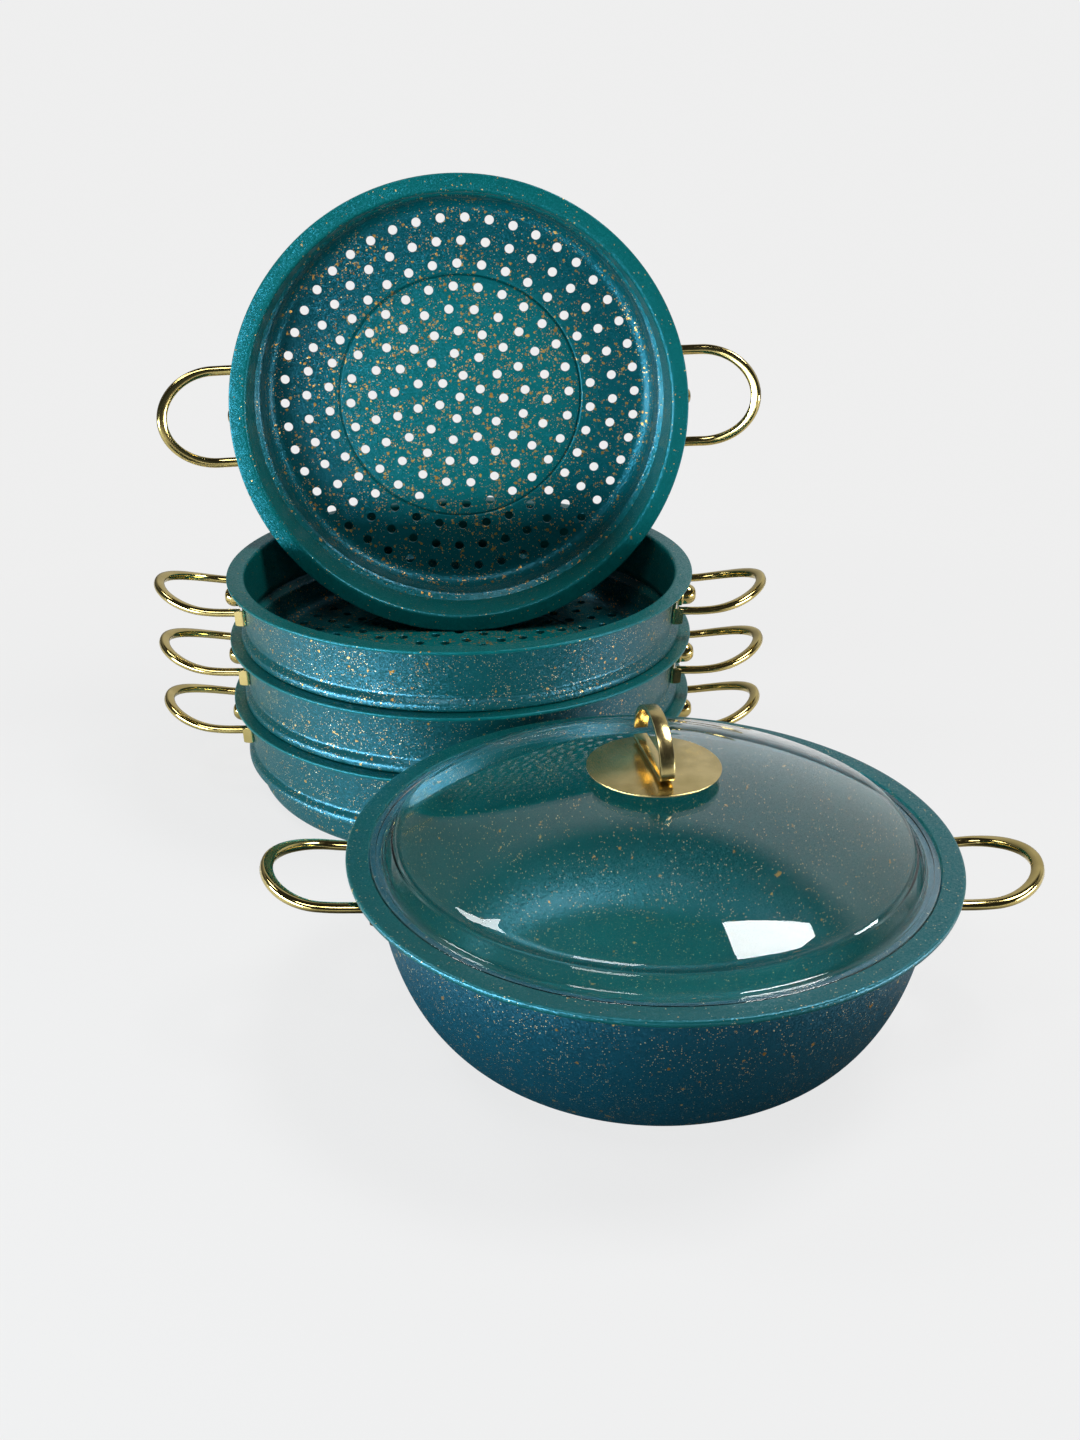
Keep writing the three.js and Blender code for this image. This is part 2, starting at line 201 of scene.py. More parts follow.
def radiusHeight(items, label):
    # distance from Z and height, in mm, of each point or face middle
    spots = np.zeros(len(items) * 3, np.float32)
    items.foreach_get(label, spots)
    spots = spots.reshape(-1, 3) / mm
    return np.hypot(spots[:, 0], spots[:, 1]), spots[:, 2]


def paintFlecksAndShade(mesh, shareOf):
    # how many flecks a point gets, from its radius and height in the mesh's own place; the same share picks
    # the teal that paints light and shade on it
    shares = shareOf(*radiusHeight(mesh.vertices, "co")).astype(np.float32)
    layer = mesh.attributes.new("fleckAndShadeShare", "FLOAT", "POINT")
    layer.data.foreach_set("value", shares)


def useSecond(piece, mesh, material, isOther):
    # faces whose middle passes a test, in the mesh's own place, take a second material
    piece.data.materials.append(material)
    chosen = isOther(*radiusHeight(mesh.polygons, "center")).astype(np.int32)
    piece.data.polygons.foreach_set("material_index", chosen)


# shader nodes
number, direction = "NodeSocketFloat", "NodeSocketVector"
midTone = (0.5, 0.5, 0.5)  # taken from a texture's colour so that it goes both ways


def newGroup(name, inputs, outputs):
    tree = bpy.data.node_groups.new(name, "ShaderNodeTree")
    for label, value in inputs.items():
        socket = tree.interface.new_socket(label, in_out="INPUT", socket_type=number)
        socket.default_value = value
    for label, kind in outputs.items():
        tree.interface.new_socket(label, in_out="OUTPUT", socket_type=kind)
    return tree, tree.nodes.new("NodeGroupInput").outputs, tree.nodes.new("NodeGroupOutput").inputs


def addNode(tree, kind, inputs=None, **settings):
    # another node's output is linked to an input, and a plain value is set on it
    node = tree.nodes.new(kind)
    for key, value in settings.items():
        setattr(node, key, value)
    for key, value in (inputs or {}).items():
        if isinstance(value, bpy.types.NodeSocket):
            tree.links.new(value, node.inputs[key])
        else:
            node.inputs[key].default_value = value
    return node


def maths(tree, operation, a, b, clamp=False):
    return addNode(tree, "ShaderNodeMath", {0: a, 1: b}, operation=operation, use_clamp=clamp).outputs[0]


def times(tree, a, b, clamp=False):
    return maths(tree, "MULTIPLY", a, b, clamp)


def vectorMaths(tree, operation, inputs, output=0):
    return addNode(tree, "ShaderNodeVectorMath", inputs, operation=operation).outputs[output]


def spanned(tree, value, span, target=(0.0, 1.0)):
    # carries a span of values onto a target span and holds it at both ends
    return addNode(tree, "ShaderNodeMapRange", {
        "Value": value, "From Min": span[0], "From Max": span[1], "To Min": target[0], "To Max": target[1],
    }).outputs[0]


def blendValue(tree, factor, a, b):
    return addNode(tree, "ShaderNodeMix", {0: factor, 2: a, 3: b}).outputs[0]


def blendColour(tree, factor, a, b):
    return addNode(tree, "ShaderNodeMix", {0: factor, 6: a, 7: b}, data_type="RGBA").outputs[2]


def ownSpot(tree):
    return addNode(tree, "ShaderNodeTexCoord").outputs["Object"]


def cellScale(tree, size):
    # the texture scale at which one cell is so many mm
    return maths(tree, "DIVIDE", 1 / mm, size)


def noiseAt(tree, where, scale, detail):
    return addNode(tree, "ShaderNodeTexNoise", {"Vector": where, "Scale": scale, "Detail": detail}).outputs


fleckForm = {
    "bumps": 2.9,  # wobbles of an outline across one cell
    "leastShare": 0.001,
    "sizeBend": 0.6,  # under 1 makes more flecks nearly full size
    "edge": 14.0,  # how hard an outline is
}


def makeFleckGroup(f):
    # grains cut from wobbled cells: a share of the cells holds one, each with its own size and tone
    inputs = {"Cell": 2.5, "Share": 0.5, "Size": 0.4, "Wobble": 0.5}
    tree, given, out = newGroup("mineralFlecks", inputs, {"Mask": number, "Tone": number})
    where = ownSpot(tree)
    scale = cellScale(tree, given["Cell"])
    noise = noiseAt(tree, where, times(tree, scale, f["bumps"]), 2.0)
    centred = vectorMaths(tree, "SUBTRACT", {0: noise["Color"], 1: midTone})
    reach = maths(tree, "DIVIDE", given["Wobble"], scale)
    wobble = vectorMaths(tree, "SCALE", {0: centred, "Scale": reach})
    moved = vectorMaths(tree, "ADD", {0: where, 1: wobble})
    cells = addNode(tree, "ShaderNodeTexVoronoi", {"Vector": moved, "Scale": scale}).outputs
    parts = addNode(tree, "ShaderNodeSeparateColor", {0: cells["Color"]}).outputs
    absent = maths(tree, "SUBTRACT", 1.0, given["Share"])
    rank = maths(tree, "SUBTRACT", parts[0], absent)
    share = maths(tree, "MAXIMUM", given["Share"], f["leastShare"])
    spread = maths(tree, "DIVIDE", rank, share, clamp=True)
    radius = times(tree, given["Size"], maths(tree, "POWER", spread, f["sizeBend"]))
    inside = maths(tree, "SUBTRACT", radius, cells["Distance"])
    tree.links.new(times(tree, inside, f["edge"], clamp=True), out["Mask"])
    tree.links.new(parts[1], out["Tone"])
    return tree


def makeGrainGroup():
    # a fine noise as the height of a sprayed texture, and a slow one as drift in tone
    outputs = {"Height": number, "Drift": number}
    tree, given, out = newGroup("sprayGrain", {"Fine": 1.0, "Slow": 40.0}, outputs)
    where = ownSpot(tree)
    fine = noiseAt(tree, where, cellScale(tree, given["Fine"]), 3.0)
    slow = noiseAt(tree, where, cellScale(tree, given["Slow"]), 2.0)
    tree.links.new(fine["Fac"], out["Height"])
    tree.links.new(slow["Fac"], out["Drift"])
    return tree


def makeFlakeGroup():
    # metal flake: every small cell tips the surface normal its own way
    outputs = {"Normal": direction, "Glint": number}
    tree, given, out = newGroup("metalFlake", {"Cell": 0.6, "Tip": 0.3}, outputs)
    scale = cellScale(tree, given["Cell"])
    cells = addNode(tree, "ShaderNodeTexVoronoi", {"Vector": ownSpot(tree), "Scale": scale}).outputs
    centred = vectorMaths(tree, "SUBTRACT", {0: cells["Color"], 1: midTone})
    tip = vectorMaths(tree, "SCALE", {0: centred, "Scale": given["Tip"]})
    facing = addNode(tree, "ShaderNodeNewGeometry").outputs["Normal"]
    tipped = vectorMaths(tree, "ADD", {0: facing, 1: tip})
    tree.links.new(vectorMaths(tree, "NORMALIZE", {0: tipped}), out["Normal"])
    parts = addNode(tree, "ShaderNodeSeparateColor", {0: cells["Color"]}).outputs
    tree.links.new(parts[2], out["Glint"])
    return tree


fleckGroup = makeFleckGroup(fleckForm)
flakeGroup = makeFlakeGroup()
grainGroup = makeGrainGroup()
print("node groups made")


# materials
def newMaterial(name, sockets):
    material = bpy.data.materials.new(name)
    material.use_nodes = True
    shader = material.node_tree.nodes["Principled BSDF"]
    for label, value in sockets.items():
        shader.inputs[label].default_value = value
    return material, material.node_tree, shader.inputs


def useGroup(tree, group, values):
    return addNode(tree, "ShaderNodeGroup", values, node_tree=group).outputs


def raiseBump(tree, sockets, inputs):
    tree.links.new(addNode(tree, "ShaderNodeBump", inputs).outputs[0], sockets["Normal"])


coatLook = {
    # painted light and shade: one coat takes a darker teal on the walls than in a floor's middle
    "wallTeal": (0.0005, 0.046, 0.043, 1),
    "edgeShadeTeal": (0.0005, 0.068, 0.076, 1),  # painted shade: a darker teal on the floor's outer ring, next to the wall
    "floorTeal": (0.0005, 0.104, 0.102, 1),
    "wallSpan": (0.50, 0.74),  # painted shares from the wall's teal to the ring's
    "floorSpan": (0.80, 1.0),  # and the ring's to the floor's
    "deeper": 0.88,  # the least that the slow drift leaves of a teal
    "driftSpan": (0.3, 0.7),
    "crowdSpan": (0.36, 0.66),  # drift over which flecks go from thin to crowded
    "crowd": (0.35, 1.5),
    "coarseBend": 2.0,  # how much faster larger flecks thin out
    "cells": (1.05, 2.6, 6.0, 0.9),  # spacing in mm of fine, middle and large flecks and dust
    "shares": (0.80, 0.60, 0.45, 0.16),  # how many cells hold one
    "sizes": (0.38, 0.45, 0.27, 0.36),  # how far one reaches across its cell
    "wobbles": (0.9, 1.0, 1.1, 0.6),  # how ragged its outline is
    "brightFleck": (1.0, 0.84, 0.54, 1),
    "paleFleck": (0.92, 0.56, 0.20, 1),
    "deepFleck": (0.52, 0.24, 0.035, 1),
    "dust": (0.86, 0.72, 0.46, 1),
    "dustCover": 0.8,
    "dustMetal": 1.15,
    "metal": 0.96,  # how far a fleck is metal
    "tint": (0.20, 0.70, 1.0, 1),
    "level": 0.55,
    "ior": 1.9,
    "varnish": (0.05, 0.16),  # weight and roughness of the clear coat
    "glint": 0.3,  # how much the flake changes the gloss
    "glossSpan": (0.4, 1.0),
    "rough": (0.31, 0.40),
    "fleckRaise": 0.6,
    "bump": {"Strength": 0.15, "Distance": 0.0004},
    "grain": {"Fine": 0.9, "Slow": 16.0},
    "flake": {"Cell": 0.75, "Tip": 0.28},
}
sieveLook = dict(
    coatLook,
    # inside a sieve the wall and rim take a lighter teal than outside it, as painted light
    wallTeal=(0.0005, 0.085, 0.080, 1), tint=(0.12, 0.70, 1.0, 1), level=0.32, metal=0.8,
    cells=(1.6, 3.1, 6.5, 0.9), shares=(0.55, 0.60, 0.45, 0.08),
    brightFleck=(0.74, 0.45, 0.14, 1), paleFleck=(0.68, 0.36, 0.08, 1), deepFleck=(0.42, 0.20, 0.03, 1),
)
insideLook = dict(
    # the pot's inside takes a darker teal than a sieve's floor, as painted shade inside the bowl
    coatLook, wallTeal=(0.0005, 0.062, 0.056, 1), level=0.5, metal=0.8, shares=(0.60, 0.60, 0.45, 0.10),
)
outsideLook = dict(
    # the bowl's outside takes the darkest, bluest teal, as painted shade on its downward-facing wall
    coatLook, wallTeal=(0.0005, 0.030, 0.045, 1), level=0.45, rough=(0.38, 0.48),
    shares=(0.85, 0.90, 0.70, 0.25),
)


def makeCoat(name, look):
    # teal coat with metal flake under it, gold flecks of three sizes in loose clusters, and fine pale dust
    material, tree, sockets = newMaterial(name, {
        "Specular Tint": look["tint"], "Specular IOR Level": look["level"], "IOR": look["ior"],
        "Coat Weight": look["varnish"][0], "Coat Roughness": look["varnish"][1],
    })
    painted = addNode(tree, "ShaderNodeAttribute", attribute_name="fleckAndShadeShare").outputs["Fac"]
    grain = useGroup(tree, grainGroup, look["grain"])
    flake = useGroup(tree, flakeGroup, look["flake"])
    share = times(tree, painted, spanned(tree, grain["Drift"], look["crowdSpan"], look["crowd"]))
    coarse = times(tree, share, maths(tree, "POWER", painted, look["coarseBend"]))
    layers = []
    sizes = zip(look["cells"], look["sizes"], look["wobbles"])
    for common, part, (cell, size, wobble) in zip((share, coarse, coarse, share), look["shares"], sizes):
        held = times(tree, common, part, clamp=True)
        values = {"Cell": cell, "Share": held, "Size": size, "Wobble": wobble}
        layers.append(useGroup(tree, fleckGroup, values))
    fine, middle, large, dust = layers

    # painted light and shade: lighter teal in a floor's middle, darker on its outer ring and on the walls
    colour = blendColour(tree, spanned(tree, painted, look["floorSpan"]), look["edgeShadeTeal"], look["floorTeal"])
    onWall = spanned(tree, painted, look["wallSpan"], (1.0, 0.0))
    colour = blendColour(tree, onWall, colour, look["wallTeal"])
    tone = spanned(tree, grain["Drift"], look["driftSpan"], (1.0, look["deeper"]))
    colour = vectorMaths(tree, "SCALE", {0: colour, "Scale": tone})
    dusted = times(tree, dust["Mask"], look["dustCover"])
    colour = blendColour(tree, dusted, colour, look["dust"])
    tones = (("paleFleck", "brightFleck"), ("deepFleck", "paleFleck"), ("deepFleck", "paleFleck"))
    for layer, (low, high) in zip((fine, middle, large), tones):
        gold = blendColour(tree, layer["Tone"], look[low], look[high])
        colour = blendColour(tree, layer["Mask"], colour, gold)
    tree.links.new(colour, sockets["Base Color"])

    grains = maths(tree, "MAXIMUM", fine["Mask"], middle["Mask"])
    grains = maths(tree, "MAXIMUM", grains, large["Mask"])
    metal = maths(tree, "MAXIMUM", grains, times(tree, dust["Mask"], look["dustMetal"]))
    tree.links.new(times(tree, metal, look["metal"]), sockets["Metallic"])
    gloss = maths(tree, "ADD", grain["Height"], times(tree, flake["Glint"], look["glint"]))
    tree.links.new(spanned(tree, gloss, look["glossSpan"], look["rough"]), sockets["Roughness"])
    height = maths(tree, "ADD", grain["Height"], times(tree, grains, look["fleckRaise"]))
    raiseBump(tree, sockets, dict(look["bump"], Height=height, Normal=flake["Normal"]))
    return material


tierCoat = makeCoat("tierCoat", coatLook)
sieveCoat = makeCoat("sieveCoat", sieveLook)
potCoat = makeCoat("potCoat", insideLook)
potOutside = makeCoat("potOutside", outsideLook)

goldLook = {
    "tones": ((0.66, 0.52, 0.20, 1), (0.48, 0.37, 0.13, 1)),
    "driftSpan": (0.35, 0.65),
    "metal": 1.0,
    "glossSpan": (0.12, 0.38),
    "rough": (0.06, 0.14),
    "bump": {"Strength": 0.004, "Distance": 0.0002},
    "grain": {"Fine": 1.6, "Slow": 22.0},
}
plateLook = dict(goldLook, tones=((0.92, 0.73, 0.31, 1), (0.78, 0.60, 0.22, 1)), rough=(0.12, 0.20))
strapLook = dict(goldLook, tones=((0.68, 0.54, 0.25, 1), (0.51, 0.40, 0.16, 1)), rough=(0.17, 0.27))
discLook = dict(
    strapLook,
    rings=3500.0,  # turned rings to a metre of radius
    glossSpan=(0.3, 0.7),
    bump={"Strength": 0.03, "Distance": 0.0002},
    grain={"Fine": 2.0, "Slow": 18.0},
)
steelLook = dict(
    goldLook,
    tones=((0.52, 0.53, 0.55, 1), (0.62, 0.63, 0.64, 1)),
    glossSpan=(0.3, 0.7),
    rough=(0.22, 0.34),
    bump={"Strength": 0.1, "Distance": 0.0002},
    grain={"Fine": 0.6, "Slow": 12.0},
)
siliconeLook = dict(
    steelLook,
    tones=((0.02, 0.02, 0.022, 1), (0.035, 0.035, 0.038, 1)),
    metal=0.0,
    rough=(0.55, 0.75),
    grain={"Fine": 0.8, "Slow": 12.0},
)


def smeared(tree, grain, look):
    # polish: drift and grain together leave faint smears in the gloss
    return times(tree, grain["Drift"], grain["Height"]), grain["Height"]


def ringed(tree, grain, look):
    # turned plate: a noise of the distance from Z makes fine rings
    flat = vectorMaths(tree, "MULTIPLY", {0: ownSpot(tree), 1: (1, 1, 0)})
    radius = vectorMaths(tree, "LENGTH", {0: flat}, "Value")
    inputs = {"W": times(tree, radius, look["rings"]), "Scale": 1.0, "Detail": 2.0}
    rings = addNode(tree, "ShaderNodeTexNoise", inputs, noise_dimensions="1D").outputs["Fac"]
    return rings, rings


def plainGrain(tree, grain, look):
    return grain["Height"], grain["Height"]


def makeFinish(name, look, surface):
    # slow drift between two tones; the surface gives the patterns of gloss and height
    material, tree, sockets = newMaterial(name, {"Metallic": look["metal"]})
    grain = useGroup(tree, grainGroup, look["grain"])
    tone = blendColour(tree, spanned(tree, grain["Drift"], look["driftSpan"]), *look["tones"])
    tree.links.new(tone, sockets["Base Color"])
    gloss, height = surface(tree, grain, look)
    tree.links.new(spanned(tree, gloss, look["glossSpan"], look["rough"]), sockets["Roughness"])
    raiseBump(tree, sockets, dict(look["bump"], Height=height))
    return material


polishedGold = makeFinish("polishedGold", goldLook, smeared)
plateGold = makeFinish("plateGold", plateLook, smeared)
satinGold = makeFinish("satinGold", strapLook, smeared)
brushedGold = makeFinish("brushedGold", discLook, ringed)
bareSteel = makeFinish("bareSteel", steelLook, plainGrain)
darkSilicone = makeFinish("darkSilicone", siliconeLook, plainGrain)

glassLook = {
    "colour": (0.955, 0.985, 0.975, 1),
    "shade": (0.93, 0.96, 0.95, 1),  # what is left of a lamp's light behind it
    "ior": 1.5,
    "glossSpan": (0.35, 0.65),
    "rough": (0.0, 0.03),
    "grain": {"Fine": 6.0, "Slow": 90.0},
}


def makeLidGlass(name, look):
    # clear glass with a faint uneven gloss; rays from lamps pass straight through
    material, tree, sockets = newMaterial(name, {
        "Base Color": look["colour"], "Transmission Weight": 1.0, "IOR": look["ior"],
    })
    grain = useGroup(tree, grainGroup, look["grain"])
    tree.links.new(spanned(tree, grain["Height"], look["glossSpan"], look["rough"]), sockets["Roughness"])
    clear = addNode(tree, "ShaderNodeBsdfTransparent", {"Color": look["shade"]}).outputs[0]
    toLamp = addNode(tree, "ShaderNodeLightPath").outputs["Is Shadow Ray"]
    glass = tree.nodes["Principled BSDF"].outputs[0]
    mixed = addNode(tree, "ShaderNodeMixShader", {0: toLamp, 1: glass, 2: clear}).outputs[0]
    tree.links.new(mixed, tree.nodes["Material Output"].inputs["Surface"])
    return material


lidClear = makeLidGlass("lidClear", glassLook)
print("materials made")

# where the vessels stand
standing = {
    "lidSeat": 104.9,
    "stack": (-115.645, 321.217),
    "stackPitch": 46.1,
    "leanPlace": (-117.345, 437.791, 258.666),
    "leanTilt": 4.6,
    "leanYaw": 1.35,
    "leanSpin": 2.0,
}


def leanMatrix(s):
    turn = turned(s["leanYaw"], "Z") @ turned(90 - s["leanTilt"], "X") @ turned(s["leanSpin"], "Z")
    return shiftBy(*s["leanPlace"]) @ turn


tiers = ["tier_%d" % level for level in range(1, 5)]
placeOf = {"pot": Matrix.Identity(4), "lid": shiftBy(0, 0, standing["lidSeat"])}
for level, tier in enumerate(tiers[:3]):
    placeOf[tier] = shiftBy(*standing["stack"], level * standing["stackPitch"])
placeOf[tiers[3]] = leanMatrix(standing)

# sieve tiers
tierForm = {
    "height": 69.7, "rimR": 169.0, "mouthR": 156.2, "sheet": 2.5,
    "footR": 154.2, "beadR": 160.7, "shoulder": 23.9, "beadTop": 32.9,
    "beadFace": 4.6, "beadInside": 4.5, "slopeInside": 1.5,  # heights of the bead's corners
    "floorR": 139.9, "corner": 12.6, "cornerSteps": 12, "draft": 1.0,
    "stepR": 93.0, "stepRise": 0.6, "stepRun": 1.6,
    "grooveDeep": 1.1, "grooveOut": 0.5, "grooveSpread": 0.5,
    "stepBand": (2.6, -1.2), "stepRings": 9, "stepSides": 144,  # circles that give the step its shape
    "holeR": 3.5, "holeEase": 0.25, "holeSides": 20, "ringPitch": 16.91,
    "rings": ((6, 19), (11, 29), (17, 4), (22, 12.5), (28, 0.6), (34, 3.7), (40, 5.8), (46, -0.5)),
    "turns": 192, "wallSteps": 7, "cutReach": 1e-5,
}


def tierWall(f):
    # sheet's outline from the floor's lower edge, over the bead and the rim, to the floor's upper edge
    sheet, shoulder, top = f["sheet"], f["shoulder"], f["height"]
    dish = f["floorR"] + f["corner"] + f["draft"]
    bend = f["corner"] - sheet
    cornerOut = quarterRound(f["floorR"], 0, f["corner"], f["corner"], f["cornerSteps"])
    cornerIn = quarterRound(f["floorR"], sheet, bend, bend, f["cornerSteps"])[::-1]
    wall = eased([
        (*cornerOut[-1], 0), (dish, shoulder, 1.0),
        (f["beadR"], shoulder, 1.4), (f["beadR"], shoulder + f["beadFace"], 2.0),
        (f["footR"] + sheet, f["beadTop"], 1.6), (f["mouthR"] + sheet, top - sheet, 3.4),
        (f["rimR"], top - sheet, 1.1), (f["rimR"], top, 1.1),
        (f["mouthR"], top, 3.2), (f["footR"], f["beadTop"] + f["slopeInside"], 2.0),
        (f["beadR"] - sheet, shoulder + f["beadInside"], 2.0), (dish - sheet, shoulder, 2.0),
        (*cornerIn[0], 0),
    ], f["wallSteps"])
    return np.concatenate([cornerOut[:-1], wall, cornerIn[1:]])


def floorLift(f, r):
    # the middle of the floor is pressed up by a smooth step, with a bell-shaped groove round its foot
    step = smoothRise((f["stepR"] + f["stepRun"] / 2 - r) / f["stepRun"])
    groove = np.exp(-((r - f["stepR"] - f["grooveOut"]) ** 2) / f["grooveSpread"])
    return f["stepRise"] * step - f["grooveDeep"] * groove


def holeCentres(f):
    # one hole in the middle, then rings of evenly spread holes
    rings = [np.zeros((1, 2))]
    for ring, (count, start) in enumerate(f["rings"], 1):
        t = math.radians(start) + np.arange(count) * 2 * math.pi / count
        rings.append(ring * f["ringPitch"] * np.stack([np.cos(t), np.sin(t)], 1))
    return np.concatenate(rings)


def circleAt(centres, radius, sides):
    # the same circle of points round every centre
    t = np.arange(sides) * 2 * math.pi / sides
    around = radius * np.stack([np.cos(t), np.sin(t)], 1)
    return centres[:, None, :] + around[None]


def circleEdges(first, count, sides):
    # the edges of circles whose points follow one another in a list
    base = first + np.repeat(np.arange(count) * sides, sides)
    k = np.tile(np.arange(sides), count)
    return np.stack([base + k, base + (k + 1) % sides], 1)


def tierFloor(f):
    # flat sheet cut by its holes: triangles between the lips above and below, and an eased wall in each hole
    turns, stepSides, sides = f["turns"], f["stepSides"], f["holeSides"]
    centres, middle = holeCentres(f), np.zeros((1, 2))
    stepRadii = f["stepR"] + np.linspace(*f["stepBand"], f["stepRings"])
    edge = circleAt(middle, f["floorR"], turns)[0]
    steps = np.concatenate([circleAt(middle, r, stepSides)[0] for r in stepRadii])
    lips = circleAt(centres, f["holeR"] + f["holeEase"], sides).reshape(-1, 2)
    firstStep, firstLip = len(edge), len(edge) + len(steps)
    flat = np.concatenate([edge, steps, lips])
    edges = np.concatenate([
        circleEdges(0, 1, turns),
        circleEdges(firstStep, len(stepRadii), stepSides),
        circleEdges(firstLip, len(centres), sides),
    ])
    cut = delaunay_2d_cdt([Vector(p) for p in flat.tolist()], edges.tolist(), [], 0, f["cutReach"])
    spots = np.array([tuple(v) for v in cut[0]])
    faces = np.array(cut[2])
    # a triangle with all three corners on one lip lies in that hole and is left out
    origin = np.array([ids[0] if ids else -1 for ids in cut[3]])
    holeOf = np.where(origin >= firstLip, (origin - firstLip) // sides, -1 - np.arange(len(origin)))
    corners = holeOf[faces]
    inHole = (corners[:, 0] == corners[:, 1]) & (corners[:, 1] == corners[:, 2])
    faces = faces[~inHole]
    lift = floorLift(f, np.hypot(spots[:, 0], spots[:, 1]))
    upper = np.column_stack([spots, lift + f["sheet"]])
    lower = np.column_stack([spots, lift])

    wide = f["holeR"] + f["holeEase"]
    levels = np.array([
        (wide, f["sheet"]), (f["holeR"], f["sheet"] - f["holeEase"]), (f["holeR"], f["holeEase"]), (wide, 0),
    ])
    rings = np.stack([circleAt(centres, r, sides) for r, _ in levels], 2)
    lifts = floorLift(f, np.hypot(rings[:, :, 0, 0], rings[:, :, 0, 1]))
    heights = lifts[:, :, None] + levels[None, None, :, 1]
    walls = np.concatenate([rings, heights[..., None]], -1).reshape(-1, 3)
    quads = gridFaces(sides, len(levels), True, False)
    offsets = np.arange(len(centres)) * sides * len(levels)
    wallFaces = (quads[None] + offsets[:, None, None]).reshape(-1, 4)
    return [(upper, faces), (lower, faces[:, ::-1]), (walls, wallFaces)]


tierZones = {
    "dishR": 150.0, "dishTop": 25.0,  # the floor with its corner lies within these
    "insideR": 156.5,  # and the inside of the wall within this
    "lipR": 157.5, "lipFoot": 66.5,  # the rim lies beyond these
    "lipShare": 0.15, "insideShare": 0.25, "outsideShare": 0.5, "floorShare": 1.0,
    "thinner": 0.2, "thinFrom": 72.0, "thinRun": 48.0,  # how the floor's flecks thin out towards its edge, where its teal also darkens as painted shade
}


def tierFlecksAndShade(r, z):
    # few flecks on the rim and inside the wall, more outside it, and most on the floor, above all its middle;
    # the share also paints shade, a darker teal on the walls and the floor's edge, and light, a lighter teal
    # in the floor's middle
    q = tierZones
    floor = q["floorShare"] - q["thinner"] * smoothRise((r - q["thinFrom"]) / q["thinRun"])
    wall = np.where((z > q["dishTop"]) & (r < q["insideR"]), q["insideShare"], q["outsideShare"])
    sides = np.where((r > q["dishR"]) | (z > q["dishTop"]), wall, floor)
    return np.where((r > q["lipR"]) & (z > q["lipFoot"]), q["lipShare"], sides)


def tierInside(r, z):
    # the floor, the inside of the wall and the rim
    q = tierZones
    within = np.where(z < q["dishTop"], r < q["dishR"], r < q["insideR"])
    return within | (z > q["lipFoot"])


tierParts = [revolve(tierWall(tierForm), tierForm["turns"], False), *tierFloor(tierForm)]
tierMesh = meshOf("tierSheet", tierParts)
paintFlecksAndShade(tierMesh, tierFlecksAndShade)
for tier in tiers:
    sheet = place(tierMesh, tier + "_sheet", placeOf[tier], tier, tier + "_body", tierCoat)
    useSecond(sheet, tierMesh, sieveCoat, tierInside)
print("tiers made:", len(tierMesh.polygons), "faces each")

# pot
potForm = {
    "height": 109.6, "rimR": 170.9, "recessR": 158.4, "rim": 4.0, "wall": 3.0,
    "baseR": 94.0, "flare": 60.0, "ledge": 104.6,
    "turns": 256, "bowlSteps": 40, "rimSteps": 8, "baseSteps": 12,
    "coatSeam": 0.3,  # how far above the rim's underside the outer coat ends
    "lipFoot": 103.0, "lipShare": 0.16, "bowlShare": 0.34,
}


def potOutline(f):
    # from the base's middle up the bowl, over the rim and the lid's ledge, and down the inside to the middle
    top, under = f["ledge"] - f["wall"], f["height"] - f["rim"]
    collar = f["recessR"] + f["wall"]
    outside = quarterRound(f["baseR"], 0, f["flare"], top, f["bowlSteps"])
    inside = quarterRound(f["baseR"], f["wall"], f["flare"] - f["wall"], top, f["bowlSteps"])[::-1]
    rim = eased([
        (*outside[-1], 0), (collar, top, 2.0),
        (collar, under, 1.2), (f["rimR"], under, 1.9),
        (f["rimR"], f["height"], 1.9), (f["recessR"], f["height"], 0.9),
        (f["recessR"], f["ledge"], 0.7), (*inside[0], 0),
    ], f["rimSteps"])
    baseR = np.linspace(0, f["baseR"], f["baseSteps"])[:-1]
    base = np.stack([baseR, np.zeros_like(baseR)], 1)
    floor = base[::-1] + (0, f["wall"])
    return np.concatenate([base, outside[:-1], rim, inside[1:], floor])


def bowlOutside(r, z):
    # the outer wall below the rim, beyond a line half way through the wall
    f = potForm
    half = f["wall"] / 2
    t = np.arccos(np.clip(1 - (z - half) / (f["ledge"] - f["wall"]), -1, 1))
    middle = f["baseR"] + (f["flare"] - half) * np.sin(t)
    return ((z < half) | (r > middle)) & (z < f["height"] - f["rim"] + f["coatSeam"])


def potFlecks(r, z):
    # fewer flecks on the rim than on the bowl
    return np.where(z > potForm["lipFoot"], potForm["lipShare"], potForm["bowlShare"])


potMesh = meshOf("potBowl", [revolve(potOutline(potForm), potForm["turns"], False)])
paintFlecksAndShade(potMesh, potFlecks)
potBowl = place(potMesh, "pot_bowl", placeOf["pot"], "pot", "pot_body", potCoat)
useSecond(potBowl, potMesh, potOutside, bowlOutside)
print("pot made")

